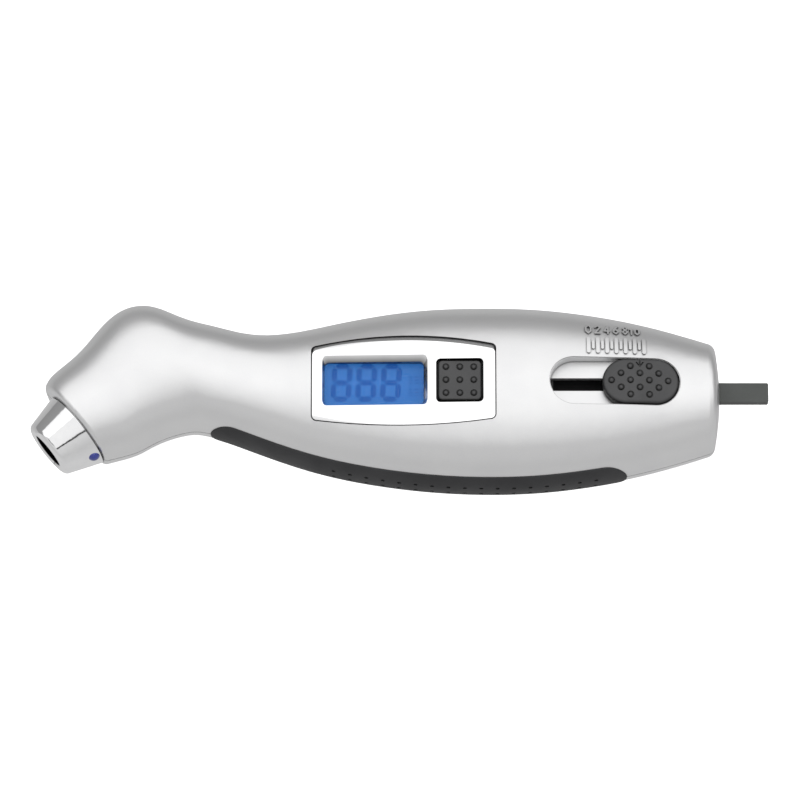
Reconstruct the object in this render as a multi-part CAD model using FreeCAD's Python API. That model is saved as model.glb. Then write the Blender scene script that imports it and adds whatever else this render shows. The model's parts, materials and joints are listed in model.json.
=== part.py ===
import FreeCAD, Part
import math
import os
from FreeCAD import Placement, Rotation, Vector

# Digital tire pressure gauge with a tread-depth probe, lying on its back.
# Millimetres. +X runs from the valve nozzle to the probe, +Y is the top edge, +Z the display side.
# Every height in this file is measured from the plane where the two shells part; the finished
# pieces are lifted by PARTING_HEIGHT, so the flat on the back lies in the plane z = 0.

PARTING_HEIGHT = 12.5
SEAM_GAP = 0.2

# Body cross-sections: turn about Z (degrees), centre x, centre y, half width, front depth, back depth
BODY_SECTIONS = [
    (40.0, -70.05, -6.35, 9.95, 9.7, 9.7),
    (33.0, -65.5, -2.2, 12.35, 10.3, 10.3),
    (27.0, -60.4, 2.0, 13.9, 10.7, 10.7),
    (22.0, -54.9, 6.0, 15.3, 11.0, 11.0),
    (18.0, -49.6, 6.9, 14.85, 11.1, 11.1),
    (12.0, -44.8, 5.5, 13.2, 11.1, 11.1),
    (5.0, -39.6, 4.05, 12.45, 11.0, 11.1),
    (0.0, -35.0, 2.7, 12.3, 11.0, 11.2),
    (0.0, -28.0, 1.05, 13.3, 11.5, 11.9),
    (0.0, -20.9, 0.3, 15.0, 12.1, 12.7),
    (0.0, -13.9, 0.1, 16.75, 12.6, 13.3),
    (0.0, -5.2, 0.1, 18.5, 13.1, 13.7),
    (0.0, 5.2, 0.1, 19.9, 13.4, 13.9),
    (0.0, 17.4, 0.0, 20.5, 13.5, 14.0),
    (0.0, 29.6, 0.0, 20.2, 13.3, 13.8),
    (0.0, 40.0, 0.0, 19.05, 12.8, 13.2),
    (0.0, 48.7, 0.0, 17.5, 12.3, 12.5),
    (0.0, 56.5, 0.0, 15.6, 11.6, 11.7),
    (0.0, 63.5, 0.0, 13.5, 11.0, 10.9),
    (0.0, 71.0, 0.0, 11.0, 10.3, 10.0),
]
FRONT_SQUARENESS = 0.62
BACK_SQUARENESS = 0.66
TAIL_X = 69.5
TAIL_DOME_RADIUS = 60.0
TAIL_EDGE_RADIUS = 2.1
RIM_EDGE_RADIUS = 0.9
RIM_DRAFT = 0.15

WALL = 2.0
BACK_CAVITY_DEPTH = 10.5
END_WALL = 2.8
HEAD_WALL = 3.0

# Features on the front are centred on this line
FEATURE_Y = 0.5

# Display bezel: it follows the body, with a flat face let into it that tilts up toward the probe end
BEZEL_LEFT, BEZEL_RIGHT = -18.9, 20.6
BEZEL_TOP = (8.5, 10.75, 8.6)
BEZEL_BOTTOM = (-7.85, -9.4, -8.0)
BEZEL_CORNER = 1.0
BEZEL_DEPTH = 2.55
BEZEL_FIT = 0.25
BEZEL_BEVEL, BEZEL_BEVEL_DEPTH = 1.0, 0.62
FACE_HEIGHT = 11.82
FACE_TILT = 2.2
WINDOW = (-16.75, 6.05, -4.85, 6.5)
WINDOW_CORNER = 1.0
WINDOW_BEVEL = (0.45, 0.9, 0.3, 1.25)
WINDOW_BEVEL_DEPTH = 1.0
COLLAR_WALL = 0.9
BUTTON_HOLE = (7.85, 18.1, -4.4, 5.55)

# Display stack, heights from the parting plane
BOARD_BOTTOM, BOARD_TOP = 2.0, 3.6
BACKLIGHT_TOP = 6.1
LCD_TOP = 7.9
LENS_BOTTOM, LENS_TOP = 8.5, 9.3

# Button
BUTTON_TOP = 12.45
BUTTON_GAP = 0.5
SWITCH_TOP = 7.1
PLUNGER_TOP = 8.0
FLANGE_BOTTOM, FLANGE_TOP = 8.6, 9.25

# Slider and tread probe, drawn with the probe out
RECESS_X = (32.4, 60.5)
RECESS_WIDTH = 10.5
RECESS_FLOOR = 9.4
RECESS_STEP = 0.18
FLOOR_THICKNESS = 1.4
SLIDER_TRAVEL = 11.2
PAD_X = (43.75, 60.3)
PAD_GRIP_X = 51.8
PAD_WIDTH = 10.1
WEB_X = (44.75, 55.25)
SLOT_WIDTH = 2.9
CARRIAGE_WIDTH = 8.4
PROBE_WIDTH = 4.3
PROBE_BOTTOM, PROBE_TOP = 2.0, 4.1
PROBE_TIP_X = 80.0
BUMP_PITCH_X, BUMP_PITCH_Y = 2.04, 1.6
BUMP_RADIUS = 0.6
BUMP_SUNK = 0.17
BUMP_RING_RADIUS, BUMP_RING_DEPTH = 0.78, 0.2

# Depth scale beside the slider
SCALE_START_X = 40.85
SCALE_PITCH = 2.0
SCALE_COUNT = 7
SCALE_RELIEF = 0.34

# Nozzle, in its own frame: origin on its axis in the plane of the head rim, +Z out of the mouth
NOZZLE_ANGLE = 40.0
RIM_CENTRE = Vector(-70.1, -6.3, 0)
VALVE_BORE_RADIUS = 4.07
NOZZLE_BASE_RADIUS, NOZZLE_BASE_OFFSET = 8.9, 0.45
NOZZLE_GAP = 0.35
NOZZLE_TIP_RADIUS = 6.4
NOZZLE_LENGTH = 8.3
NOZZLE_NECK_RADIUS = 8.0
NOZZLE_FLANGE_RADIUS = 8.6
SEAL_TOP = -0.2
SEAL_RADIUS = 3.9
LED_RADIUS, LED_STEM_RADIUS = 1.25, 0.8

# Belly grip
GRIP_X = (-41.0, 49.2)
GRIP_HALF_HEIGHT = 5.4
GRIP_PROUD = 0.25
GRIP_DEPTH = 1.15
DIMPLE_PITCH = 3.55
DIMPLE_ROW = 1.7
DIMPLE_COUNT = 17

# Battery in the back
CELL_CENTRE = (12.0, 0.0)
CELL_RADIUS, CELL_HEIGHT = 10.0, 3.2
CELL_BOTTOM = -8.55
DOOR_RADIUS = 11.45
DOOR_TAB_ANGLE = 12.0
DOOR_TWIST = 45.0
WELL_RADIUS = 13.4

# Fasteners
SHELL_SCREWS = [(-51.0, 13.5), (-19.0, 12.2), (-19.0, -11.6), (33.0, 14.5), (33.0, -14.5), (61.0, -8.8)]
BOARD_SCREWS = [(22.0, 10.5), (22.0, -9.5), (-25.5, -4.0)]
SCREW_RADIUS = 1.05
SCREW_HEAD_RADIUS, SCREW_HEAD_HEIGHT = 1.9, 1.3

# Hose from the nozzle to the pressure sensor
HOSE_RADIUS, HOSE_BORE = 2.0, 1.45
BARB_RADIUS = 1.45
HOSE_BEND = 12.0
SENSOR_FACE_X = -30.0
PORT_LENGTH = 4.0


def box(x0, x1, y0, y1, z0, z1):
    return Part.makeBox(x1 - x0, y1 - y0, z1 - z0, Vector(x0, y0, z0))


def rod(radius, z0, z1, x=0.0, y=0.0):
    return Part.makeCylinder(radius, z1 - z0, Vector(x, y, z0), Vector(0, 0, 1))


def rounded_box(x0, x1, y0, y1, z0, z1, radius):
    block = box(x0, x1, y0, y1, z0, z1)
    upright = [e for e in block.Edges if abs(e.tangentAt(e.FirstParameter).z) > 0.99]
    return block.makeFillet(radius, upright)


def obround(x0, x1, y, width, z0, z1):
    """A bar along X with half-round ends."""
    radius = width / 2
    a, b = x0 + radius, x1 - radius
    edges = [
        Part.LineSegment(Vector(a, y - radius, z0), Vector(b, y - radius, z0)).toShape(),
        Part.Arc(Vector(b, y - radius, z0), Vector(x1, y, z0), Vector(b, y + radius, z0)).toShape(),
        Part.LineSegment(Vector(b, y + radius, z0), Vector(a, y + radius, z0)).toShape(),
        Part.Arc(Vector(a, y + radius, z0), Vector(x0, y, z0), Vector(a, y - radius, z0)).toShape(),
    ]
    return Part.Face(Part.Wire(edges)).extrude(Vector(0, 0, z1 - z0))


def fuse_all(shapes):
    return shapes[0].multiFuse(shapes[1:]) if len(shapes) > 1 else shapes[0]


# ---------------------------------------------------------------- body form


def section_wire(row, grow, back_limit):
    """One closed cross-section: four quarter curves between the edge and crown points."""
    turn, x, y, half, front, back = row
    half, front = half + grow, front + grow
    back = min(back + grow, back_limit)
    across = Vector(-math.sin(math.radians(turn)), math.cos(math.radians(turn)), 0)
    up = Vector(0, 0, 1)

    def quarter(side, depth, squareness):
        corners = [
            (side * half, 0),
            (side * half, depth * squareness),
            (side * half * squareness, depth),
            (0, depth),
        ]
        curve = Part.BezierCurve()
        curve.setPoles([Vector(x, y, 0) + across * a + up * b for a, b in corners])
        return curve.toBSpline().toShape()

    return Part.Wire(
        [
            quarter(1, front, FRONT_SQUARENESS),
            quarter(-1, front, FRONT_SQUARENESS),
            quarter(-1, -back, BACK_SQUARENESS),
            quarter(1, -back, BACK_SQUARENESS),
        ]
    )


def body_form(grow=0.0, back_limit=99.0):
    """The body's outer form, grown outward (or shrunk, if negative) by a skin thickness."""
    wires = [section_wire(row, grow, back_limit) for row in BODY_SECTIONS]
    return Part.makeLoft(wires, True, False)


def nozzle_placement():
    """Nozzle frame: local x toward the belly side of the rim, local z out of the mouth."""
    angle = math.radians(NOZZLE_ANGLE)
    out = Vector(-math.cos(angle), -math.sin(angle), 0)
    low = Vector(math.sin(angle), -math.cos(angle), 0)
    turn = Rotation(low, out.cross(low), out, "ZXY")
    return Placement(RIM_CENTRE, turn)


def in_nozzle_frame(shape):
    placed = shape.copy()
    placed.Placement = nozzle_placement().multiply(placed.Placement)
    return placed


def rounded_rim(form):
    """The form with its square edge around the nozzle opening rolled over."""
    out = nozzle_placement().Rotation.multVec(Vector(0, 0, 1))
    seam_centre = RIM_CENTRE - out * RIM_EDGE_RADIUS
    seam = form.slice(out, seam_centre.dot(out))[0]
    half_width = BODY_SECTIONS[0][3]
    rows = []
    for degrees in (0, 20, 40, 60, 80, 90):
        turn = math.radians(degrees)
        forward = RIM_EDGE_RADIUS * math.sin(turn)
        inset = RIM_EDGE_RADIUS * (1 - math.cos(turn)) + RIM_DRAFT * forward
        row = seam.copy()
        row.scale(1 - inset / half_width, seam_centre)
        row.translate(out * forward)
        rows.append(row)
    square_end = in_nozzle_frame(box(-30, 30, -30, 30, -RIM_EDGE_RADIUS, 30))
    return form.cut(square_end).fuse(Part.makeLoft(rows, True, False))


def outer_body():
    form = body_form()
    dome = Part.makeSphere(TAIL_DOME_RADIUS, Vector(TAIL_X - TAIL_DOME_RADIUS, 0, 0))
    form = form.cut(box(TAIL_X - 20, 100, -40, 40, -40, 40).cut(dome))
    tail_edges = [e for e in form.Edges if e.BoundBox.XMin > TAIL_X - 3]
    return rounded_rim(form.makeFillet(TAIL_EDGE_RADIUS, tail_edges))


def body_cavity():
    hollow = body_form(-WALL, BACK_CAVITY_DEPTH)
    keep = box(-200, TAIL_X - END_WALL, -60, 60, -40, 40)
    head = in_nozzle_frame(Part.makeBox(120, 120, 40, Vector(-60, -60, -HEAD_WALL)))
    return hollow.common(keep).cut(head)


# ---------------------------------------------------------------- outlines on the front


def bezel_outline(z, inset=0.0, drop=0.0):
    """The bezel's outline: straight sides, bowed top (which may be lowered) and bottom, rounded corners."""
    left_top = Vector(BEZEL_LEFT, BEZEL_TOP[0] - drop, z)
    right_top = Vector(BEZEL_RIGHT, BEZEL_TOP[2] - drop, z)
    left_low = Vector(BEZEL_LEFT, BEZEL_BOTTOM[0], z)
    right_low = Vector(BEZEL_RIGHT, BEZEL_BOTTOM[2], z)
    middle = (BEZEL_LEFT + BEZEL_RIGHT) / 2
    edges = [
        Part.Arc(left_top, Vector(middle, BEZEL_TOP[1] - drop, z), right_top).toShape(),
        Part.LineSegment(right_top, right_low).toShape(),
        Part.Arc(right_low, Vector(middle, BEZEL_BOTTOM[1], z), left_low).toShape(),
        Part.LineSegment(left_low, left_top).toShape(),
    ]
    sharp = Part.Wire(Part.__sortEdges__(edges))
    inner = sharp.makeOffset2D(-BEZEL_CORNER)
    return inner.makeOffset2D(BEZEL_CORNER - inset)


def bezel_prism(inset, z0, z1):
    return Part.Face(bezel_outline(z0, inset)).extrude(Vector(0, 0, z1 - z0))


def on_face(shape):
    """Move a shape drawn with z = 0 as the bezel's flat face to where that face lies."""
    placed = shape.copy()
    placed.Placement = Placement(Vector(0, 0, FACE_HEIGHT), Rotation(Vector(0, 1, 0), -FACE_TILT))
    return placed


def window_opening():
    """Display opening: bevelled by a different width on each side, then straight down."""
    x0, x1, y0, y1 = WINDOW
    left, right, low, top = WINDOW_BEVEL
    deep = WINDOW_BEVEL_DEPTH

    def block(share, z0, z1):
        sides = (x0 + left * share, x1 - right * share, y0 + low * share, y1 - top * share)
        return rounded_box(*sides, z0, z1, WINDOW_CORNER)

    def loop(share, z):
        foot = [f for f in block(share, z, z + 1).Faces if abs(f.CenterOfMass.z - z) < 1e-6]
        return foot[0].OuterWire

    bevel = Part.makeLoft([loop(1, -deep), loop(-1, deep)], True, True)
    return on_face(bevel.fuse(block(1, -deep - 5, -deep)))


# ---------------------------------------------------------------- shells


def boss(x, y, radius, z0, z1):
    return rod(radius, z0, z1, x, y)


def grip_prism(margin):
    x0, x1 = GRIP_X
    half = GRIP_HALF_HEIGHT + margin
    block = box(x0 - margin, x1 + margin, -40, -3, -half, half)
    across = [e for e in block.Edges if abs(e.tangentAt(e.FirstParameter).y) > 0.99]
    return block.makeFillet(half - 0.01, across)


def grip_pocket():
    return grip_prism(0.05).cut(body_form(-GRIP_DEPTH - 0.05))


def nozzle_seat():
    """Hole through the head's end wall and the groove that holds the nozzle flange."""
    neck = rod(NOZZLE_NECK_RADIUS + 0.1, -HEAD_WALL - 0.5, 1)
    groove = rod(NOZZLE_FLANGE_RADIUS + 0.1, -HEAD_WALL - 0.2, -1.35)
    return in_nozzle_frame(neck.fuse(groove)).fuse(led_shape(0.2, 0.2))


def glyph_strokes():
    """Numerals as strokes on a grid two wide and four tall."""
    ring = [(0, 1), (0, 3), (1, 4), (2, 3), (2, 1), (1, 0), (0, 1)]
    return {
        "0": [ring],
        "1": [[(0.4, 3.2), (1, 4), (1, 0)]],
        "2": [[(0, 3), (1, 4), (2, 3), (0, 0), (2, 0)]],
        "4": [[(1.5, 0), (1.5, 4), (0, 1.2), (2, 1.2)]],
        "6": [[(1.7, 4), (0, 1.8), (0, 0.9), (1, 0), (2, 1), (1, 2.2), (0, 1.5)]],
        "8": [[(1, 2.1), (0.1, 3.1), (1, 4), (1.9, 3.1), (1, 2.1), (0, 1.1), (1, 0), (2, 1.1), (1, 2.1)]],
    }


def stroke(p, q, width, z0, z1):
    length = math.hypot(q[0] - p[0], q[1] - p[1])
    bar = obround(-width / 2, length + width / 2, 0, width, z0, z1)
    bar.rotate(Vector(0, 0, 0), Vector(0, 0, 1), math.degrees(math.atan2(q[1] - p[1], q[0] - p[0])))
    bar.translate(Vector(p[0], p[1], 0))
    return bar


def numeral(text, x, y, cell, width, z0, z1):
    advance = 2.9 * cell
    start = x - (advance * (len(text) - 1) + 2 * cell) / 2
    bars = []
    for place, character in enumerate(text):
        for path in glyph_strokes()[character]:
            points = [(start + place * advance + a * cell, y + b * cell) for a, b in path]
            bars += [stroke(p, q, width, z0, z1) for p, q in zip(points, points[1:])]
    return bars


def depth_scale():
    """Raised bars every millimetre and a numeral over every second one, following the surface."""
    bars = []
    for step in range(2 * SCALE_COUNT - 1):
        x = SCALE_START_X + step * SCALE_PITCH / 2
        long_bar = step % 2 == 0
        y0, y1, width = (6.8, 10.8, 0.8) if long_bar else (7.8, 9.9, 0.6)
        bars.append(rounded_box(x - width / 2, x + width / 2, y0, y1, 2, 20, width / 2 - 0.01))
    for count in range(SCALE_COUNT - 1):
        x = SCALE_START_X + count * SCALE_PITCH
        cell = 0.53 if count < 5 else 0.43
        bars += numeral(str(2 * count), x, 11.9, cell, 0.36, 2, 20)
    marks = fuse_all(bars)
    return marks.common(body_form(SCALE_RELIEF)).cut(body_form(-0.5))


def front_shell(outer, cavity):
    above = box(-200, 200, -60, 60, SEAM_GAP / 2, 40)
    slider_pad_block = rounded_box(30.8, 63.0, -6.6, 7.6, RECESS_FLOOR - FLOOR_THICKNESS, 40, 2)
    display_block = bezel_prism(-1.6, 0, 40).cut(body_form(-WALL - 1.4))
    hollow = cavity.cut(slider_pad_block).cut(display_block)
    shell = outer.common(above).cut(hollow)

    inside = body_form(-1.0)
    bosses = [boss(x, y, 2.4, SEAM_GAP / 2, 12) for x, y in SHELL_SCREWS]
    bosses += [boss(x, y, 2.2, BOARD_TOP, 12) for x, y in BOARD_SCREWS]
    shell = shell.fuse(fuse_all([b.common(inside) for b in bosses]))

    x0, x1, y0, y1 = WINDOW
    grow = COLLAR_WALL + 0.1
    cuts = [rod(SCREW_RADIUS + 0.05, -1, 5.5, x, y) for x, y in SHELL_SCREWS]
    cuts += [rod(SCREW_RADIUS + 0.05, 0, 7.5, x, y) for x, y in BOARD_SCREWS]
    cuts.append(bezel_prism(-BEZEL_FIT, 0, 40).cut(body_form(-BEZEL_DEPTH - 0.05)))
    cuts.append(box(x0 - grow - 0.4, x1 + grow + 0.4, y0 - grow - 0.4, y1 + grow + 0.4, 0, 40))
    x0, x1, y0, y1 = BUTTON_HOLE
    cuts.append(rounded_box(x0, x1, y0, y1, 0, 40, 1.0))
    cuts.append(obround(*RECESS_X, FEATURE_Y, RECESS_WIDTH, RECESS_FLOOR, 40))
    x0, x1, step = RECESS_X[0] - RECESS_STEP, RECESS_X[1] + RECESS_STEP, 2 * RECESS_STEP
    cuts.append(obround(x0, x1, FEATURE_Y, RECESS_WIDTH + step, 0, 40).cut(body_form(-RECESS_STEP)))
    cuts.append(box(RECESS_X[0], WEB_X[1] + 0.15, *centred(SLOT_WIDTH), 0, RECESS_FLOOR + 0.05))
    cuts.append(probe_opening())
    cuts.append(nozzle_seat())
    cuts.append(grip_pocket())
    for cut in cuts:
        shell = shell.cut(cut)
    return shell.fuse(depth_scale()).removeSplitter()


def centred(width):
    return FEATURE_Y - width / 2, FEATURE_Y + width / 2


def probe_opening():
    gap = 0.2
    return box(60, 80, *centred(PROBE_WIDTH + 2 * gap), PROBE_BOTTOM - gap, PROBE_TOP + gap)


def ring_sector(radius, half_angle, direction, z0, z1):
    wedge = Part.makeCylinder(radius, z1 - z0, Vector(0, 0, z0), Vector(0, 0, 1), 2 * half_angle)
    wedge.rotate(Vector(0, 0, 0), Vector(0, 0, 1), direction - half_angle)
    wedge.translate(Vector(CELL_CENTRE[0], CELL_CENTRE[1], 0))
    return wedge


def rear_shell(outer, cavity):
    below = box(-200, 200, -60, 60, -PARTING_HEIGHT, -SEAM_GAP / 2)
    shell = outer.common(below).cut(cavity)

    inside = body_form(-1.0).common(box(-200, 200, -60, 60, -PARTING_HEIGHT + 0.5, 40))
    solids = [boss(x, y, 2.6, -12.4, -SEAM_GAP / 2) for x, y in SHELL_SCREWS]
    solids.append(rod(WELL_RADIUS, -12.4, -5.0, *CELL_CENTRE))
    for x in (40.0, 57.0):
        solids.append(box(x, x + 1.6, *centred(10.0), -12.4, 0.6))
    shell = shell.fuse(fuse_all([s.common(inside) for s in solids]))

    x, y = CELL_CENTRE
    cuts = [
        rod(DOOR_RADIUS + 0.15, -14, -10.9, x, y),
        rod(10.75, -11, -9.6, x, y),
        rod(12.1, -9.7, -8.4, x, y),
        rod(CELL_RADIUS + 0.25, -8.5, -4.0, x, y),
        ring_sector(12.05, DOOR_TAB_ANGLE + 3, DOOR_TWIST, -11, -9.5),
        ring_sector(12.05, DOOR_TAB_ANGLE + 3, DOOR_TWIST + 180, -11, -9.5),
        box(x - 14, x - 9.5, -2.3, 2.3, -8.3, -4.0),
    ]
    for sx, sy in SHELL_SCREWS:
        cuts.append(rod(SCREW_HEAD_RADIUS + 0.2, -14, -6.0, sx, sy))
        cuts.append(rod(SCREW_RADIUS + 0.15, -7, 1, sx, sy))
    cuts.append(nozzle_seat())
    cuts.append(grip_pocket())
    cuts.append(box(57.7, 59.2, 13.2, 16.5, -1.0, 0.5))
    for cut in cuts:
        shell = shell.cut(cut)
    return shell.removeSplitter()


def belly_grip():
    skin = body_form(GRIP_PROUD).common(grip_prism(0.0)).cut(body_form(-GRIP_DEPTH))
    first = (GRIP_X[0] + GRIP_X[1]) / 2 - DIMPLE_PITCH * (DIMPLE_COUNT - 1) / 2 + 10
    pins = []
    for row in (-DIMPLE_ROW, DIMPLE_ROW):
        for place in range(DIMPLE_COUNT):
            centre = Vector(first + place * DIMPLE_PITCH, -30, row)
            pins.append(Part.makeCylinder(0.45, 25, centre, Vector(0, 1, 0)))
    dimples = Part.makeCompound(pins).cut(body_form(-0.25))
    return skin.cut(dimples)


# ---------------------------------------------------------------- display and button


def bezel_bevel():
    """Solid below the slope along the bezel's top edge."""
    reach = 4
    loops = [bezel_outline(level * BEZEL_BEVEL_DEPTH, 0.0, (level + 1) * BEZEL_BEVEL) for level in (-reach, 1)]
    return on_face(Part.makeLoft(loops, True, True))


def bezel():
    plate = bezel_prism(0.0, 0, 40).common(body_form(-0.08)).cut(body_form(-BEZEL_DEPTH))
    plate = plate.cut(on_face(box(-40, 40, -30, 30, 0, 10))).common(bezel_bevel())
    x0, x1, y0, y1 = WINDOW
    wall = COLLAR_WALL
    collar = rounded_box(x0 - wall, x1 + wall, y0 - wall, y1 + wall, LCD_TOP, 40, 1.2)
    plate = plate.fuse(collar.common(body_form(-BEZEL_DEPTH + 0.5))).cut(window_opening())
    seat = 0.25
    plate = plate.cut(box(x0 - seat, x1 + seat, y0 - seat, y1 + seat, LCD_TOP - 1, LENS_TOP))
    bx0, bx1, by0, by1 = BUTTON_HOLE
    return plate.cut(rounded_box(bx0, bx1, by0, by1, 0, 40, 1.0)).removeSplitter()


def window_plate(margin, z0, z1):
    x0, x1, y0, y1 = WINDOW
    return box(x0 - margin, x1 + margin, y0 - margin, y1 + margin, z0, z1)


def display_lens():
    return window_plate(0.2, LENS_BOTTOM, LENS_TOP)


def lcd_panel():
    return window_plate(0.4, BACKLIGHT_TOP, LCD_TOP)


def zebra_strip():
    x0, x1, y0, y1 = WINDOW
    return box(x0 + 1, x1 - 1, y0 - 0.3, y0 + 1.1, BOARD_TOP, BACKLIGHT_TOP)


def backlight_panel():
    x0, x1, y0, y1 = WINDOW
    panel = box(x0, x1, y0 + 1.5, y1 + 0.3, BOARD_TOP + 1.0, BACKLIGHT_TOP)
    legs = [box(x, x + 1.0, y0 + 3, y1 - 1, BOARD_TOP, BOARD_TOP + 1.0) for x in (x0 + 1, x1 - 2)]
    return panel.multiFuse(legs)


def lcd_holder():
    frame = window_plate(1.2, BOARD_TOP, LCD_TOP - 0.3)
    return frame.cut(window_plate(0.45, BOARD_TOP - 1, LCD_TOP + 1))


def button_cap():
    x0, x1, y0, y1 = BUTTON_HOLE
    g = BUTTON_GAP
    cap = rounded_box(x0 + g, x1 - g, y0 + g, y1 - g, FLANGE_BOTTOM, BUTTON_TOP, 0.9)
    rim = [e for e in cap.Edges if e.BoundBox.ZMin > BUTTON_TOP - 0.01]
    cap = cap.makeFillet(0.45, rim)
    flange = box(x0 - 0.4, x1 + 0.4, y0 - 0.4, y1 + 0.4, FLANGE_BOTTOM, FLANGE_TOP)
    cx, cy = button_centre()
    post = rod(1.7, PLUNGER_TOP, FLANGE_BOTTOM + 0.2, cx, cy)
    steps = [(column, row) for column in (-1, 0, 1) for row in (-1, 0, 1)]
    places = [(cx + 3.0 * column, cy + 2.95 * row, BUTTON_TOP) for column, row in steps]
    return with_bumps(cap.multiFuse([flange, post]), places)


def with_bumps(body, places):
    """Add a round bump, with a shallow ring pressed in about it, at each place on the surface."""
    rings = []
    domes = []
    for x, y, z in places:
        outer = rod(BUMP_RING_RADIUS, z - BUMP_RING_DEPTH, z + 1, x, y)
        rings.append(outer.cut(rod(BUMP_RADIUS - 0.04, z - 1, z + 2, x, y)))
        domes.append(Part.makeSphere(BUMP_RADIUS, Vector(x, y, z - BUMP_SUNK)))
    return body.cut(Part.makeCompound(rings)).multiFuse(domes)


def button_centre():
    x0, x1, y0, y1 = BUTTON_HOLE
    return (x0 + x1) / 2, (y0 + y1) / 2


def tact_switch():
    x, y = button_centre()
    body = box(x - 3, x + 3, y - 3, y + 3, BOARD_TOP, SWITCH_TOP)
    return body.cut(rod(1.85, SWITCH_TOP - 1.3, SWITCH_TOP + 1, x, y))


def switch_plunger():
    x, y = button_centre()
    return rod(1.75, SWITCH_TOP - 0.5, PLUNGER_TOP, x, y)


# ---------------------------------------------------------------- electronics


def circuit_board():
    wide = box(-12.5, 27.0, -12.0, 13.0, BOARD_BOTTOM, BOARD_TOP)
    narrow = box(SENSOR_FACE_X, -12.5, -6.5, 8.5, BOARD_BOTTOM, BOARD_TOP)
    board = wide.fuse(narrow).removeSplitter()
    for x, y in BOARD_SCREWS:
        board = board.cut(rod(SCREW_RADIUS + 0.15, 0, 6, x, y))
    return board


def controller_chip():
    chip = box(-11.5, -4.5, -3.5, 3.5, BOARD_BOTTOM - 1.2, BOARD_BOTTOM)
    legs = []
    for step in range(-3, 4):
        mid = -8.0 + step * 0.8
        legs.append(box(mid - 0.15, mid + 0.15, -4.4, 4.4, BOARD_BOTTOM - 0.2, BOARD_BOTTOM))
        legs.append(box(-12.4, -3.6, step * 0.8 - 0.15, step * 0.8 + 0.15, BOARD_BOTTOM - 0.2, BOARD_BOTTOM))
    return chip.multiFuse(legs)


def hose_points():
    """Start and end of the hose's bend and its two ends, in the parting plane."""
    frame = nozzle_placement()
    inward = frame.Rotation.multVec(Vector(0, 0, -1))
    start = RIM_CENTRE + inward * 6.0
    bend_start = RIM_CENTRE + inward * 12.0
    centre = bend_start + Vector(inward.y, -inward.x, 0) * HOSE_BEND
    bend_end = centre + Vector(0, HOSE_BEND, 0)
    half = math.radians(90 + NOZZLE_ANGLE / 2)
    bend_middle = centre + Vector(math.cos(half), math.sin(half), 0) * HOSE_BEND
    return start, bend_start, bend_middle, bend_end


def hose_end():
    return Vector(SENSOR_FACE_X - 0.3, hose_points()[3].y, 0)


def sensor_hose():
    start, bend_start, bend_middle, bend_end = hose_points()
    path = Part.Wire(
        [
            Part.LineSegment(start, bend_start).toShape(),
            Part.Arc(bend_start, bend_middle, bend_end).toShape(),
            Part.LineSegment(bend_end, hose_end()).toShape(),
        ]
    )
    along = (bend_start - start).normalize()

    def sweep(radius):
        ring = Part.Wire(Part.makeCircle(radius, start, along))
        return path.makePipeShell([ring], True, False)

    return sweep(HOSE_RADIUS).cut(sweep(HOSE_BORE))


def hose_clamps():
    start, bend_start, _, _ = hose_points()
    along = (bend_start - start).normalize()
    end = hose_end()
    rings = []
    for origin, axis in ((start + along, along), (end - Vector(3.4, 0, 0), Vector(1, 0, 0))):
        outer = Part.makeCylinder(HOSE_RADIUS + 0.5, 2.4, origin, axis)
        inner = Part.makeCylinder(HOSE_RADIUS, 2.4, origin, axis)
        rings.append(outer.cut(inner))
    return Part.makeCompound(rings)


def pressure_sensor():
    y = hose_end().y
    body = box(SENSOR_FACE_X, SENSOR_FACE_X + 8, y - 4, y + 4, -2.6, BOARD_BOTTOM)
    port_end = Vector(SENSOR_FACE_X - PORT_LENGTH, y, 0)
    port = Part.makeCylinder(HOSE_BORE, PORT_LENGTH, port_end, Vector(1, 0, 0))
    bore = Part.makeCylinder(0.6, PORT_LENGTH + 4, port_end, Vector(1, 0, 0))
    return body.fuse(port).cut(bore)


def coin_cell():
    x, y = CELL_CENTRE
    can = rod(CELL_RADIUS, CELL_BOTTOM, CELL_BOTTOM + CELL_HEIGHT - 0.4, x, y)
    cap = rod(CELL_RADIUS - 1.1, CELL_BOTTOM + 1, CELL_BOTTOM + CELL_HEIGHT, x, y)
    return can.fuse(cap)


def positive_contact():
    face = CELL_CENTRE[0] - CELL_RADIUS
    blade = box(face - 0.4, face, -2, 2, -8.0, BOARD_BOTTOM)
    foot = box(face - 4, face, -2, 2, BOARD_BOTTOM - 0.4, BOARD_BOTTOM)
    return blade.fuse(foot).removeSplitter()


def negative_contact():
    x = CELL_CENTRE[0]
    cell_top = CELL_BOTTOM + CELL_HEIGHT
    arm = box(x - 1.5, x + 6.9, -2, 2, cell_top, cell_top + 0.35)
    leg = box(x + 6.5, x + 6.9, -2, 2, cell_top, BOARD_BOTTOM)
    foot = box(x + 6.5, x + 10, -2, 2, BOARD_BOTTOM - 0.4, BOARD_BOTTOM)
    return arm.multiFuse([leg, foot]).removeSplitter()


def battery_door():
    x, y = CELL_CENTRE
    disc = rod(DOOR_RADIUS, -12.35, -10.95, x, y)
    edge = [e for e in disc.Edges if e.BoundBox.ZMax < -12.3]
    disc = disc.makeFillet(0.4, edge)
    plug = rod(10.6, -11.0, -8.6, x, y)
    tabs = [ring_sector(11.9, DOOR_TAB_ANGLE, side, -9.6, -8.6) for side in (0, 180)]
    door = disc.multiFuse([plug] + tabs)
    coin_slot = obround(x - 7, x + 7, y, 1.9, -13, -11.5)
    return door.cut(coin_slot).removeSplitter()


# ---------------------------------------------------------------- nozzle


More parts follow.
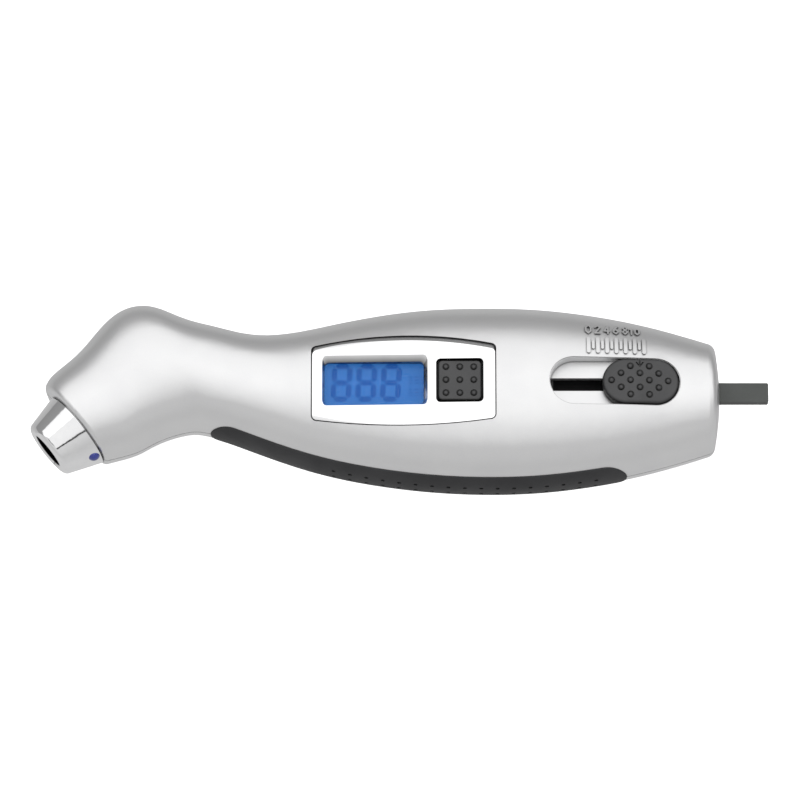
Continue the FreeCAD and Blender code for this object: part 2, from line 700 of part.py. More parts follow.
def led_shape(extra_radius=0.0, extra_length=0.0):
    """The lamp beside the nozzle mouth: a round dome on a thinner stem that leans inward."""
    lean = math.radians(22)
    around = math.radians(17)
    spread = Vector(math.cos(around), math.sin(around), 0)
    inward = spread * -math.sin(lean) - Vector(0, 0, math.cos(lean))
    centre = spread * 7.65 + Vector(0, 0, 1.62)
    dome = Part.makeSphere(LED_RADIUS + extra_radius, centre)
    stem = Part.makeCylinder(LED_STEM_RADIUS + extra_radius, 5.2 + extra_length, centre, inward)
    return in_nozzle_frame(dome.fuse(stem))


def nozzle():
    base = Part.makeCircle(NOZZLE_BASE_RADIUS, Vector(NOZZLE_BASE_OFFSET, 0, NOZZLE_GAP))
    tip = Part.makeCircle(NOZZLE_TIP_RADIUS, Vector(0, 0, NOZZLE_LENGTH))
    cone = Part.makeLoft([Part.Wire(base), Part.Wire(tip)], True, True)
    cone = cone.makeFillet(1.4, [e for e in cone.Edges if e.BoundBox.ZMin > NOZZLE_LENGTH - 0.01])
    neck = rod(NOZZLE_NECK_RADIUS, -1.5, 0.5)
    flange = rod(NOZZLE_FLANGE_RADIUS, -HEAD_WALL + 0.1, -1.4)
    body = cone.multiFuse([neck, flange])
    body = body.cut(rod(VALVE_BORE_RADIUS, SEAL_TOP, NOZZLE_LENGTH + 1))
    body = body.cut(rod(SEAL_RADIUS, -HEAD_WALL - 1, SEAL_TOP + 0.1))
    lead_in = Part.makeCone(VALVE_BORE_RADIUS, VALVE_BORE_RADIUS + 0.4, 0.4, Vector(0, 0, NOZZLE_LENGTH - 0.4))
    body = body.cut(lead_in).removeSplitter()
    return in_nozzle_frame(body).cut(led_shape(0.05))


def chuck_seal():
    ring = rod(SEAL_RADIUS, -2.4, SEAL_TOP).cut(rod(1.6, -3, 1))
    return in_nozzle_frame(ring)


def chuck_core():
    parts = [rod(4.6, -4.4, -2.9), rod(SEAL_RADIUS, -3.0, -2.4), rod(BARB_RADIUS, -10.0, -4.0)]
    core = fuse_all(parts)
    core = core.cut(rod(0.55, -11, -3.4)).cut(rod(1.5, -3.5, -2.9))
    for side in (-1, 1):
        core = core.cut(rod(0.4, -3.0, -2.0, 1.05 * side, 0))
    return in_nozzle_frame(core)


def depressor_pin():
    return in_nozzle_frame(rod(0.6, -2.4, -0.35))


def nozzle_led():
    return led_shape()


def led_wires():
    """Two short leads that curve from the lamp to the near end of the circuit board."""
    frame = nozzle_placement()
    inward = frame.Rotation.multVec(Vector(0, 0, -1))
    wires = []
    for side in (-1, 1):
        start = frame.multVec(Vector(5.45 + 0.1 * side, 1.65 - 0.42 * side, -3.35))
        finish = Vector(SENSOR_FACE_X, -3.4 + 0.9 * side, BOARD_TOP - 0.8)
        curve = Part.BezierCurve()
        curve.setPoles([start, start + inward * 9.0, finish - Vector(8, 0, 0), finish])
        ring = Part.Wire(Part.makeCircle(0.35, start, inward))
        wires.append(Part.Wire(curve.toShape()).makePipeShell([ring], True, False))
    return Part.makeCompound(wires)


# ---------------------------------------------------------------- slider and probe


def slider_pad():
    top_z = 12.6
    dome_radius = 50.0
    top_x = 48.9
    pad = obround(*PAD_X, FEATURE_Y, PAD_WIDTH, RECESS_FLOOR + 0.12, 14)
    dome = Part.makeSphere(dome_radius, Vector(top_x, FEATURE_Y, top_z - dome_radius))
    pad = pad.common(dome)
    raised = [e for e in pad.Edges if e.BoundBox.ZMin > RECESS_FLOOR + 0.5]
    pad = pad.makeFillet(0.8, [e for e in raised if e.BoundBox.ZLength < 2])

    def surface(x, y):
        run = (x - top_x) ** 2 + (y - FEATURE_Y) ** 2
        return top_z - dome_radius + math.sqrt(dome_radius**2 - run)

    centre = PAD_GRIP_X
    places = []
    for row, columns in ((2, (-1, 1)), (1, (-2, 0, 2)), (0, (-3, -1, 1, 3)), (-1, (-2, 0, 2)), (-2, (-1, 1))):
        for column in columns:
            x = centre + column * BUMP_PITCH_X
            y = FEATURE_Y + row * BUMP_PITCH_Y
            places.append((x, y, surface(x, y)))
    web = box(*WEB_X, *centred(SLOT_WIDTH - 0.3), RECESS_FLOOR - FLOOR_THICKNESS - 0.1, RECESS_FLOOR + 1)
    pegs = [rod(0.9, 6.5, 8.5, x, FEATURE_Y) for x in (WEB_X[0] + 1.5, WEB_X[1] - 1.5)]
    pad = with_bumps(pad, places).multiFuse([web] + pegs)
    pointer_y = FEATURE_Y + PAD_WIDTH / 2
    point = (centre, pointer_y - 1.9)
    pointer = [stroke((centre, pointer_y + 0.2), point, 0.35, 11.9, 14)]
    for side in (-1, 1):
        pointer.append(stroke(point, (centre + 0.7 * side, pointer_y - 1.0), 0.3, 11.9, 14))
    return pad.cut(fuse_all(pointer)).removeSplitter()


def slider_carriage():
    top = RECESS_FLOOR - FLOOR_THICKNESS - 0.1
    block = box(WEB_X[0], WEB_X[1] + 2.5, *centred(CARRIAGE_WIDTH), PROBE_BOTTOM, top)
    block = block.cut(box(40, 70, *centred(PROBE_WIDTH), PROBE_BOTTOM - 1, PROBE_TOP))
    for x in (WEB_X[0] + 1.5, WEB_X[1] - 1.5):
        block = block.cut(rod(0.9, 6.5, top + 1, x, FEATURE_Y))
    high = centred(CARRIAGE_WIDTH)[1]
    block = block.cut(box(46.5, 55.5, high - 0.9, high + 1, 3.4, 6.6))
    return block.fuse(rod(0.8, PROBE_BOTTOM + 0.4, PROBE_TOP + 0.2, 49, FEATURE_Y))


def tread_probe():
    blade = rounded_box(45.5, PROBE_TIP_X, *centred(PROBE_WIDTH), PROBE_BOTTOM, PROBE_TOP, 0.35)
    return blade.cut(rod(0.8, PROBE_BOTTOM - 1, PROBE_TOP + 1, 49, FEATURE_Y))


def detent_spring():
    """A bowed leaf in the carriage's side that rubs on the guide and holds the slider where it is put."""
    side = centred(CARRIAGE_WIDTH)[1]
    bow_radius, thickness = 10.5, 0.25
    centre_y = side + 0.15 - bow_radius
    bow = rod(bow_radius, 3.6, 6.4, 51.0, centre_y).cut(rod(bow_radius - thickness, 3, 7, 51.0, centre_y))
    return bow.common(box(46.7, 55.3, side - 0.88, side + 1, 3, 7))


def probe_guide():
    """Channel that the carriage and probe slide in, clamped between the two shells."""
    floor_bottom = RECESS_FLOOR - FLOOR_THICKNESS
    block = box(32.6, 66.0, *centred(12.4), 0.6, floor_bottom)
    block = block.cut(box(33.2, 60.2, *centred(CARRIAGE_WIDTH + 0.4), 1.75, floor_bottom + 1))
    block = block.cut(box(60, 70, *centred(PROBE_WIDTH + 0.3), 1.75, floor_bottom + 1))
    return block.cut(box(61.4, 70, -10, 10, 6.4, floor_bottom + 1))


# ---------------------------------------------------------------- fasteners


def screw(x, y, seat, tip):
    """A cross-head screw whose head bears on the seat height and whose point is at the tip height."""
    shank = rod(SCREW_RADIUS, seat, tip, x, y)
    head = rod(SCREW_HEAD_RADIUS, seat - SCREW_HEAD_HEIGHT, seat, x, y)
    bottom = seat - SCREW_HEAD_HEIGHT
    head = head.makeFillet(0.4, [e for e in head.Edges if e.BoundBox.ZMax < bottom + 0.01])
    for a, b in ((1.2, 0.25), (0.25, 1.2)):
        head = head.cut(box(x - a, x + a, y - b, y + b, bottom - 0.1, bottom + 0.7))
    return head.fuse(shank)


def shell_screws():
    return Part.makeCompound([screw(x, y, -6.0, 5.0) for x, y in SHELL_SCREWS])


def board_screws():
    return Part.makeCompound([screw(x, y, BOARD_BOTTOM, 7.0) for x, y in BOARD_SCREWS])


def main():
    outer = outer_body()
    cavity = body_cavity()
    nodes = {
        "front_shell": front_shell(outer, cavity),
        "rear_shell": rear_shell(outer, cavity),
        "belly_grip": belly_grip(),
        "bezel": bezel(),
        "display_lens": display_lens(),
        "lcd_panel": lcd_panel(),
        "backlight_panel": backlight_panel(),
        "lcd_holder": lcd_holder(),
        "zebra_strip": zebra_strip(),
        "button_cap": button_cap(),
        "switch_plunger": switch_plunger(),
        "tact_switch": tact_switch(),
        "circuit_board": circuit_board(),
        "controller_chip": controller_chip(),
        "pressure_sensor": pressure_sensor(),
        "sensor_hose": sensor_hose(),
        "hose_clamps": hose_clamps(),
        "coin_cell": coin_cell(),
        "positive_contact": positive_contact(),
        "negative_contact": negative_contact(),
        "battery_door": battery_door(),
        "nozzle": nozzle(),
        "chuck_seal": chuck_seal(),
        "chuck_core": chuck_core(),
        "depressor_pin": depressor_pin(),
        "nozzle_led": nozzle_led(),
        "led_wires": led_wires(),
        "slider_pad": slider_pad(),
        "slider_carriage": slider_carriage(),
        "tread_probe": tread_probe(),
        "detent_spring": detent_spring(),
        "probe_guide": probe_guide(),
        "shell_screws": shell_screws(),
        "board_screws": board_screws(),
    }
    os.makedirs("parts", exist_ok=True)
    for name, shape in nodes.items():
        shape.translate(Vector(0, 0, PARTING_HEIGHT))
        solids = len(shape.Solids)
        print(f"{name:18s} solids {solids} volume {shape.Volume:9.2f} valid {shape.isValid()}")
        shape.exportStep(f"parts/{name}.step")


main()
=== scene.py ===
import json
import math

import bmesh
import bpy
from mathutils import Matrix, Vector


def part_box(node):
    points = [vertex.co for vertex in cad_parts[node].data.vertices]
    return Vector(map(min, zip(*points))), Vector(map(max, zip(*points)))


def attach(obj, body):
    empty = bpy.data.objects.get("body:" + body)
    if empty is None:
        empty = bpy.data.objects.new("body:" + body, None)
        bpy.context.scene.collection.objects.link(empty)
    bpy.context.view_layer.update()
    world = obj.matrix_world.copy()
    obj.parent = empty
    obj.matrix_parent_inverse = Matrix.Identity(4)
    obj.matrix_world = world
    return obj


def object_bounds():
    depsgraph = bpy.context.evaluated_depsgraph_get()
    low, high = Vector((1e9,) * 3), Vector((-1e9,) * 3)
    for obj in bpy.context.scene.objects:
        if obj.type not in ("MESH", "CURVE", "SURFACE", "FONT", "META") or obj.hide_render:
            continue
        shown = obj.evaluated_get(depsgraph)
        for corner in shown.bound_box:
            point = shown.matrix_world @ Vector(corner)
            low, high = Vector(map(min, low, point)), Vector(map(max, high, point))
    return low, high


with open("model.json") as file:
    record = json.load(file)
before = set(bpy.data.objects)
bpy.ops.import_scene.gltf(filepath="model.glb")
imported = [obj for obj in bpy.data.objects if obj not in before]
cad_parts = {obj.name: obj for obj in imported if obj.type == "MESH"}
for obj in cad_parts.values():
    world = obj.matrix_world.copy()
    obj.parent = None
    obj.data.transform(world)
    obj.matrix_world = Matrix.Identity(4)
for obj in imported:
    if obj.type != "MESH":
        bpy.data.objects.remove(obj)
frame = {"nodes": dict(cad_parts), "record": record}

cad_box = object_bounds()
MM = 0.001


# ---------------------------------------------------------------- materials

def srgb(level):
    """Linear value of a display level from 0 to 255."""
    c = level / 255
    return c / 12.92 if c <= 0.04045 else ((c + 0.055) / 1.055) ** 2.4


def colour(r, g, b):
    """Linear colour of three display levels."""
    return (srgb(r), srgb(g), srgb(b), 1.0)


def node(tree, kind, **inputs):
    """A new node with some of its inputs set by name."""
    made = tree.nodes.new(kind)
    for name, value in inputs.items():
        made.inputs[name.replace("_", " ")].default_value = value
    return made


def noise(tree, coords, scale, detail=3.0, roughness=0.55):
    """Smooth noise in space, mostly between 0.3 and 0.7."""
    n = node(tree, "ShaderNodeTexNoise", Scale=scale, Detail=detail, Roughness=roughness)
    tree.links.new(coords, n.inputs["Vector"])
    return n.outputs["Fac"]


def spread(tree, value, low, high, from_low=0.3, from_high=0.7):
    """The value moved from its own range to the range from low to high, and held inside it."""
    m = tree.nodes.new("ShaderNodeMapRange")
    for name, v in (("From Min", from_low), ("From Max", from_high), ("To Min", low), ("To Max", high)):
        m.inputs[name].default_value = v
    tree.links.new(value, m.inputs["Value"])
    return m.outputs["Result"]


def blend_colours(tree, factor, first, second):
    """A colour between the first, at factor 0, and the second, at factor 1."""
    m = tree.nodes.new("ShaderNodeMix")
    m.data_type = "RGBA"
    tree.links.new(factor, m.inputs[0])
    m.inputs[6].default_value = first
    m.inputs[7].default_value = second
    return m.outputs[2]


def math_node(tree, operation, first, second=None):
    """Result of one arithmetic step; each term is an output socket or a number."""
    m = tree.nodes.new("ShaderNodeMath")
    m.operation = operation
    for socket, term in zip(m.inputs, (first, second)):
        if isinstance(term, (int, float)):
            socket.default_value = term
        elif term is not None:
            tree.links.new(term, socket)
    return m.outputs[0]


def dimmed(tree, base, share):
    """The base colour multiplied by a share between 0 and 1."""
    m = tree.nodes.new("ShaderNodeMix")
    m.data_type = "RGBA"
    m.blend_type = "MULTIPLY"
    m.inputs[0].default_value = 1.0
    tree.links.new(base, m.inputs[6])
    tree.links.new(share, m.inputs[7])
    return m.outputs[2]


def separated(tree, source):
    """The x, y and z sockets of one output of the texture coordinates."""
    parts = tree.nodes.new("ShaderNodeSeparateXYZ")
    tree.links.new(tree.nodes.new("ShaderNodeTexCoord").outputs[source], parts.inputs[0])
    return parts.outputs


# Openness and upward tilt between which the painted crevice shade and painted side shade below run, from
# 0 to 1
HIDDEN, OPEN = 0.35, 0.95
STEEP, LEVEL = 0.45, 0.93


def painted_crevice_shade(tree, reach, shaded_level):
    """Painted shade: a share that darkens the colour where other surfaces stand closer than the given
    reach.
    """
    shade = tree.nodes.new("ShaderNodeAmbientOcclusion")
    shade.samples = 8
    shade.inputs["Distance"].default_value = reach
    return spread(tree, shade.outputs["AO"], shaded_level, 1.0, HIDDEN, OPEN)


def painted_side_shade(tree, shaded_side_level):
    """Painted shade: a share that darkens faces turned away from the piece's upper side."""
    return spread(tree, separated(tree, "Normal")["Z"], shaded_side_level, 1.0, STEEP, LEVEL)


def finish(name, light, dark, rough, metallic=0.0, grain=900.0, cloud=60.0, bump=0.1, depth=0.02,
           shade_shares=(), **sockets):
    """A moulded, painted or plated surface: colour clouds, uneven gloss and a fine surface grain, with
    the colour darkened by any shade shares, which paint shade into it.
    """
    material = bpy.data.materials.new(name)
    material.use_nodes = True
    tree = material.node_tree
    shader = tree.nodes["Principled BSDF"]
    coords = tree.nodes.new("ShaderNodeTexCoord").outputs["Object"]
    clouds = noise(tree, coords, cloud)
    fine = noise(tree, coords, grain, detail=4.0, roughness=0.65)
    mixed = math_node(tree, "MULTIPLY", math_node(tree, "ADD", clouds, fine), 0.5)
    base = blend_colours(tree, spread(tree, mixed, 0.0, 1.0), light, dark)
    # Each share multiplies the colour by painted shade.
    for share, *settings in shade_shares:
        base = dimmed(tree, base, share(tree, *settings))
    tree.links.new(base, shader.inputs["Base Color"])
    tree.links.new(spread(tree, clouds, rough[0], rough[1]), shader.inputs["Roughness"])
    relief = node(tree, "ShaderNodeBump", Strength=bump, Distance=depth * MM)
    tree.links.new(fine, relief.inputs["Height"])
    tree.links.new(relief.outputs["Normal"], shader.inputs["Normal"])
    shader.inputs["Metallic"].default_value = metallic
    for socket, value in sockets.items():
        shader.inputs[socket.replace("_", " ")].default_value = value
    return material


BORE_SHADE_LEVEL = 0.1
BORE_EDGE_FROM, BORE_EDGE_TO = 0.05 * MM, 0.12 * MM


def unplated_bore_shade(tree):
    """Share that darkens the colour inside the valve bore. The bore is taken as unplated, and the dark
    also stands in as painted shade in the hollow.
    """
    bore = [m for m in frame["record"]["mounts"] if m["name"] == "valve_bore"][0]
    away = tree.nodes.new("ShaderNodeVectorMath")
    away.operation = "SUBTRACT"
    tree.links.new(tree.nodes.new("ShaderNodeTexCoord").outputs["Object"], away.inputs[0])
    away.inputs[1].default_value = bore["pos_m"]
    across = tree.nodes.new("ShaderNodeVectorMath")
    across.operation = "CROSS_PRODUCT"
    tree.links.new(away.outputs[0], across.inputs[0])
    across.inputs[1].default_value = bore["axis"]
    length = tree.nodes.new("ShaderNodeVectorMath")
    length.operation = "LENGTH"
    tree.links.new(across.outputs[0], length.inputs[0])
    radius = bore["dims"]["r_mm"] * MM
    return spread(tree, length.outputs["Value"], BORE_SHADE_LEVEL, 1.0,
                  radius + BORE_EDGE_FROM, radius + BORE_EDGE_TO)


FACE_TILT = math.radians(2.2)


def painted_wall_shade(tree, shallow, deep, level):
    """Painted shade: a share that darkens the colour with depth below the bezel's flat face, on its
    bevels and inner walls.
    """
    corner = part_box("bezel")[1]
    x, _, z = separated(tree, "Object")
    rise = math_node(tree, "MULTIPLY", math_node(tree, "SUBTRACT", x, corner.x), math.tan(FACE_TILT))
    depth = math_node(tree, "SUBTRACT", math_node(tree, "ADD", rise, corner.z), z)
    return spread(tree, depth, 1.0, level, shallow, deep)


def display_with_painted_glow(name, light, dark, grain, cloud):
    """A dull pane with a painted glow, which keeps it bright and evenly blue."""
    return finish(name, light, dark, (0.5, 0.6), grain=grain, cloud=cloud, bump=0.02, depth=0.01,
                  Emission_Color=light, Emission_Strength=0.8, Specular_IOR_Level=0.1)


PLATING = {"light": (0.86, 0.86, 0.86, 1), "dark": (0.80, 0.80, 0.81, 1), "rough": (0.05, 0.09),
           "metallic": 1.0, "grain": 700.0, "cloud": 180.0, "bump": 0.03, "depth": 0.01}


# Painted crevice shade darkens the silver in seams and gaps and round the raised marks.
SILVER = finish("satin_silver", colour(222, 222, 222), colour(214, 214, 215), (0.31, 0.36), 0.8,
                grain=5200.0, cloud=90.0, bump=0.12, depth=0.01, shade_shares=((painted_crevice_shade, 0.5 * MM, 0.25),))
# Painted shade darkens the chrome's bevels and inner walls below the bezel's face.
CHROME = finish("bright_chrome", shade_shares=((painted_wall_shade, 0.08 * MM, 1.1 * MM, 0.2),), **PLATING)
# The valve bore is darkened: partly unplated metal, partly painted shade in the hollow.
PLATED = finish("plated_nozzle", shade_shares=((unplated_bore_shade,),), **PLATING)
RUBBER = finish("black_rubber", colour(43, 43, 45), colour(35, 35, 37), (0.62, 0.74),
                grain=2600.0, cloud=120.0, bump=0.4, depth=0.03)
# Painted shade darkens the charcoal on its sides and in its crevices.
CHARCOAL = finish("charcoal_plastic", colour(70, 70, 71), colour(62, 62, 63), (0.48, 0.58),
                  grain=3200.0, cloud=150.0, bump=0.3, depth=0.02,
                  shade_shares=((painted_side_shade, 0.12), (painted_crevice_shade, 0.5 * MM, 0.15)))
# Painted shade darkens the probe's sides.
PROBE = finish("probe_plastic", colour(74, 77, 75), colour(66, 69, 67), (0.45, 0.55),
               grain=2600.0, cloud=140.0, bump=0.25, depth=0.02, shade_shares=((painted_side_shade, 0.45),))
LENS = finish("clear_lens", (1, 1, 1, 1), (0.97, 0.98, 1, 1), (0.0, 0.02),
              grain=300.0, cloud=90.0, bump=0.01, depth=0.01, Transmission_Weight=1.0, IOR=1.2)
# The display pane has a painted glow.
LCD = display_with_painted_glow("display_blue", colour(44, 98, 162), colour(40, 92, 156), grain=4200.0, cloud=160.0)
WHITE = finish("white_plastic", colour(236, 236, 232), colour(226, 226, 222), (0.4, 0.5),
               grain=2500.0, cloud=120.0, bump=0.15, depth=0.02)
BLACK = finish("black_plastic", colour(40, 40, 42), colour(30, 30, 32), (0.4, 0.52),
               grain=2800.0, cloud=140.0, bump=0.25, depth=0.02)
BOARD = finish("board_lacquer", colour(34, 104, 62), colour(22, 84, 48), (0.28, 0.4),
               grain=1500.0, cloud=260.0, bump=0.2, depth=0.03)
CHIP = finish("chip_epoxy", colour(42, 42, 44), colour(32, 32, 34), (0.5, 0.6),
              grain=5000.0, cloud=200.0, bump=0.3, depth=0.02)
STEEL = finish("bright_steel", (0.62, 0.62, 0.61, 1), (0.52, 0.52, 0.51, 1), (0.2, 0.34), 1.0,
               grain=2200.0, cloud=300.0, bump=0.12, depth=0.02)
BRASS = finish("turned_brass", (0.66, 0.47, 0.21, 1), (0.55, 0.38, 0.16, 1), (0.2, 0.34), 1.0,
               grain=2400.0, cloud=320.0, bump=0.15, depth=0.02)
HOSE = finish("milky_hose", colour(226, 226, 218), colour(214, 214, 206), (0.3, 0.42),
              grain=1800.0, cloud=200.0, bump=0.1, depth=0.02)
LED = finish("lamp_blue", colour(22, 44, 150), colour(14, 32, 128), (0.03, 0.07),
             grain=900.0, cloud=400.0, bump=0.03, depth=0.01, Coat_Weight=1.0, Coat_Roughness=0.03)
SEAL = finish("seal_rubber", colour(44, 38, 33), colour(34, 30, 27), (0.6, 0.74),
              grain=3000.0, cloud=260.0, bump=0.35, depth=0.03)

FINISHES = {
    SILVER: ("front_shell", "rear_shell", "battery_door"),
    CHROME: ("bezel",),
    PLATED: ("nozzle",),
    RUBBER: ("belly_grip", "led_wires"),
    CHARCOAL: ("button_cap", "slider_pad"),
    PROBE: ("tread_probe",),
    LENS: ("display_lens",),
    LCD: ("lcd_panel",),
    WHITE: ("backlight_panel", "lcd_holder", "pressure_sensor"),
    BLACK: ("switch_plunger", "slider_carriage", "probe_guide"),
    BOARD: ("circuit_board",),
    CHIP: ("controller_chip",),
    STEEL: ("tact_switch", "hose_clamps", "coin_cell", "positive_contact", "negative_contact",
            "detent_spring", "shell_screws", "board_screws"),
    BRASS: ("chuck_core", "depressor_pin"),
    HOSE: ("sensor_hose",),
    LED: ("nozzle_led",),
    SEAL: ("zebra_strip", "chuck_seal"),
}
for material, names in FINISHES.items():
    for name in names:
        mesh = frame["nodes"][name].data
        mesh.materials.clear()
        mesh.materials.append(material)


# ---------------------------------------------------------------- pieces

def mesh_object(name, shape, material):
    """An object made from a finished shape, in the scene and with its material."""
    mesh = bpy.data.meshes.new(name)
    shape.to_mesh(mesh)
    shape.free()
    mesh.materials.append(material)
    made = bpy.data.objects.new(name, mesh)
    bpy.context.scene.collection.objects.link(made)
    return made


# ---------------------------------------------------------------- display segments

SEGMENT_THICKNESS = 0.02 * MM


def display_piece(name, outlines, height, material):
    """Thin flat plates from closed outlines in the XY plane, resting at the given height."""
    shape = bmesh.new()
    for outline in outlines:
        face = shape.faces.new([shape.verts.new((x, y, height)) for x, y in outline])
        top = bmesh.ops.extrude_face_region(shape, geom=[face])["geom"]
        bmesh.ops.translate(shape, verts=[v for v in top if isinstance(v, bmesh.types.BMVert)],
                            vec=(0, 0, SEGMENT_THICKNESS))
    bmesh.ops.recalc_face_normals(shape, faces=shape.faces)
    piece = mesh_object(name, shape, material)
    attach(piece, "housing")


def bar(start, end, width):
    """One display segment: a long hexagon from start to end."""
    start, end = Vector(start), Vector(end)
    along = (end - start).normalized()
    side = Vector((-along.y, along.x)) * width / 2
    shoulder = along * width / 2
    return [tuple(p) for p in (start, start + shoulder + side, end - shoulder + side,
                               end, end - shoulder - side, start + shoulder - side)]


DIGITS = 3
DIGIT_LEFT, DIGIT_BOTTOM = 2.7 * MM, 2.9 * MM
DIGIT_PITCH = 5.35 * MM
DIGIT_WIDTH, DIGIT_HEIGHT = 3.3 * MM, 7.4 * MM
DIGIT_STROKE, DIGIT_GAP = 1.2 * MM, 0.12 * MM
DIGIT_LEAN = 0.06


def digit(left, bottom):
    """The seven segments of one digit, leaning a little to the right."""
    levels = [bottom, bottom + DIGIT_HEIGHT / 2, bottom + DIGIT_HEIGHT]

    def at(x, y):
        return (x + DIGIT_LEAN * (y - bottom), y)

    bars = []
    for y in levels:
        bars.append(bar(at(left + DIGIT_GAP, y), at(left + DIGIT_WIDTH - DIGIT_GAP, y), DIGIT_STROKE))
    for x in (left, left + DIGIT_WIDTH):
        for low, high in zip(levels, levels[1:]):
            bars.append(bar(at(x, low + DIGIT_GAP), at(x, high - DIGIT_GAP), DIGIT_STROKE))
    return bars


# Small unlit marks stand at the right of the digits, each of three short bars
MARK_ROWS, MARK_COLUMNS, MARK_BARS = 2, 3, 3
MARK_LEFT, MARK_BOTTOM = 19.0 * MM, 3.7 * MM
MARK_COLUMN_PITCH, MARK_ROW_PITCH, MARK_BAR_PITCH = 1.35 * MM, 2.8 * MM, 0.7 * MM
MARK_LENGTH, MARK_STROKE = 1.0 * MM, 0.3 * MM


def mark(left, bottom):
    """The short bars of one mark, one above the other."""
    heights = [bottom + MARK_BAR_PITCH * step for step in range(MARK_BARS)]
    return [bar((left, y), (left + MARK_LENGTH, y), MARK_STROKE) for y in heights]


def display_segments():
    """The unlit digits and marks, as thin plates on the display."""
    corner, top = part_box("lcd_panel")
    # The unlit segments get the same painted glow as the pane.
    dull_blue = display_with_painted_glow("display_segments", colour(23, 75, 143), colour(19, 69, 137),
                               grain=4000.0, cloud=200.0)
    digits = []
    for column in range(DIGITS):
        digits += digit(corner.x + DIGIT_LEFT + DIGIT_PITCH * column, corner.y + DIGIT_BOTTOM)
    display_piece("display_digits", digits, top.z, dull_blue)
    marks = []
    for row in range(MARK_ROWS):
        for column in range(MARK_COLUMNS):
            marks += mark(corner.x + MARK_LEFT + MARK_COLUMN_PITCH * column,
                          corner.y + MARK_BOTTOM + MARK_ROW_PITCH * row)
    display_piece("display_marks", marks, top.z, dull_blue)


display_segments()


# ---------------------------------------------------------------- lamp lens

LAMP_DOME_RADIUS = 1.25 * MM
LAMP_LENS_RADIUS = 1.4 * MM
LAMP_LENS_SHIFT = Vector((0.4, -0.25, 0.4)) * MM


def lamp_lens():
    """The clear blue lens over the lamp dome, a little further out of the nozzle's side."""
    corner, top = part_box("nozzle_led")
    dome = Vector((corner.x + LAMP_DOME_RADIUS, corner.y + LAMP_DOME_RADIUS, top.z - LAMP_DOME_RADIUS))
    shape = bmesh.new()
    bmesh.ops.create_uvsphere(shape, u_segments=32, v_segments=16, radius=LAMP_LENS_RADIUS)
    bmesh.ops.translate(shape, verts=shape.verts, vec=dome + LAMP_LENS_SHIFT)
    for face in shape.faces:
        face.smooth = True
    piece = mesh_object("lamp_lens", shape, LED)
    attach(piece, "housing")


lamp_lens()


# ---------------------------------------------------------------- stage, light and camera

cad_low, cad_high = cad_box
centre = (cad_low + cad_high) / 2
FLOOR_REACH = 1.6
FLOOR_DROP = 0.02 * MM


def floor():
    """A wide flat sheet of pale paper just under the gauge, unseen by reflections."""
    shape = bmesh.new()
    bmesh.ops.create_grid(shape, x_segments=1, y_segments=1, size=FLOOR_REACH)
    paper = finish("pale_paper", (0.92, 0.92, 0.92, 1), (0.90, 0.90, 0.90, 1), (0.8, 0.9),
                   grain=800.0, cloud=6.0, bump=0.02, depth=0.02,
                   Emission_Color=(1, 1, 1, 1), Emission_Strength=0.8)
    sheet = mesh_object("floor", shape, paper)
    sheet.location.z = cad_low.z - FLOOR_DROP
    sheet.visible_diffuse = False
    sheet.visible_glossy = False


floor()


KEY_PLACE = Vector((0.0, 0.1, 0.9))
KEY_SIZE = (0.9, 0.6)
KEY_POWER = 0.42


def key_light():
    """A large softbox high above the gauge."""
    lamp = bpy.data.lights.new("key", "AREA")
    lamp.shape = "RECTANGLE"
    lamp.size, lamp.size_y = KEY_SIZE
    lamp.energy = KEY_POWER
    holder = bpy.data.objects.new("key", lamp)
    holder.location = KEY_PLACE
    holder.rotation_euler = (centre - KEY_PLACE).to_track_quat("-Z", "Y").to_euler()
    bpy.context.scene.collection.objects.link(holder)


key_light()


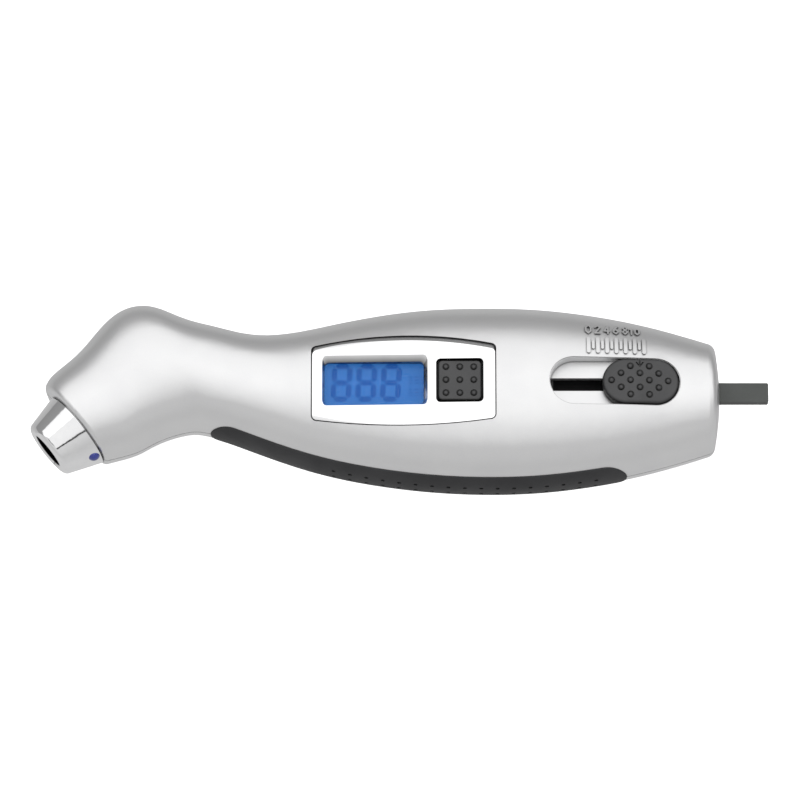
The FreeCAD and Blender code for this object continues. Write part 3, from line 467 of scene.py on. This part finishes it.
# Light by angle from overhead, in degrees, counted as positive on the side towards the back.
# The bright part overhead has crisp edges, with a dark frame on the near side and a dim wall behind.
SKY = ((-180, 0.66), (-110, 0.70), (-75, 0.62), (-43.5, 0.78), (-43, 0.02), (-39, 0.02), (-38.5, 1.0),
       (0, 1.12), (45, 1.45), (62, 1.10), (64, 0.34), (101, 0.30), (104, 0.50), (150, 0.60), (180, 0.66))


def surroundings():
    """A soft studio: brightest overhead and a little behind, dim low at the back."""
    world = bpy.data.worlds.new("studio")
    world.use_nodes = True
    tree = world.node_tree
    x, y, z = separated(tree, "Generated")
    squares = math_node(tree, "ADD", math_node(tree, "MULTIPLY", x, x), math_node(tree, "MULTIPLY", y, y))
    sideways = math_node(tree, "MULTIPLY", math_node(tree, "SQRT", squares), math_node(tree, "SIGN", y))
    turn = math_node(tree, "ARCTAN2", sideways, z)
    ramp = tree.nodes.new("ShaderNodeValToRGB")
    tree.links.new(spread(tree, turn, 0.0, 1.0, -math.pi, math.pi), ramp.inputs[0])
    stops = ramp.color_ramp.elements
    while len(stops) < len(SKY):
        stops.new(0.5)
    for stop, (degrees, level) in zip(stops, SKY):
        stop.position = (degrees + 180) / 360
        stop.color = (level, level, level, 1)
    tree.links.new(ramp.outputs["Color"], tree.nodes["Background"].inputs["Color"])
    bpy.context.scene.world = world


surroundings()

ELEVATION = math.radians(71.5)
LENS_LENGTH = 250.0
SENSOR_WIDTH = 36.0
FIELD = 174.1 * MM
AIM_OFFSET_X, AIM_Y, PARTING_HEIGHT = 0.18 * MM, 0.14 * MM, 12.5 * MM
FARTHEST_SEEN = 20.0


def camera():
    """A long lens that looks down on the display side, from in front of the grip."""
    lens = bpy.data.cameras.new("camera")
    lens.lens = LENS_LENGTH
    lens.sensor_width = SENSOR_WIDTH
    lens.clip_end = FARTHEST_SEEN
    holder = bpy.data.objects.new("camera", lens)
    aim = Vector((centre.x + AIM_OFFSET_X, AIM_Y, PARTING_HEIGHT))
    distance = LENS_LENGTH / SENSOR_WIDTH * FIELD
    holder.location = aim + distance * Vector((0, -math.cos(ELEVATION), math.sin(ELEVATION)))
    holder.rotation_euler = (aim - holder.location).to_track_quat("-Z", "Y").to_euler()
    bpy.context.scene.collection.objects.link(holder)
    bpy.context.scene.camera = holder


camera()
bpy.context.scene.view_settings.view_transform = "Standard"
